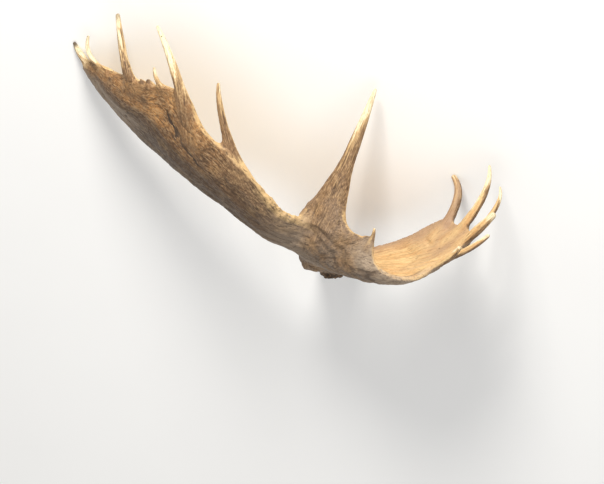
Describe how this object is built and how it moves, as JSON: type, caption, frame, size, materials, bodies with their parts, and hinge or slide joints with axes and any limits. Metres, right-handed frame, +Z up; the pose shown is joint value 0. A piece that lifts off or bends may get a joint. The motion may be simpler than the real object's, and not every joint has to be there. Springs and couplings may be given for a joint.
{
  "type": "moose antler",
  "caption": "Palmate moose antler, lying down: a short beam with a burr and a sawn base, a long main palm swept back, and a cupped brow palm with tines.",
  "frame": {"origin": "middle of the bounding box's underside, on the surface that the antler lies on", "axes": "+Z up from that surface; +X along the antler's length, from the main palm's end to the front tines; +Y to the side that the rim tines and the long brow tine reach towards"},
  "size_m": [0.8166, 0.5154, 0.2358],
  "materials": {
    "antler_bone": "dry antler bone: matt brown and grooved outside, smooth pale tan inside, cream tine tips, dark rough burr"
  },
  "bodies": {
    "root": {"beam": "antler_bone", "main_palm": "antler_bone", "brow_palm": "antler_bone"}
  },
  "joints": []
}
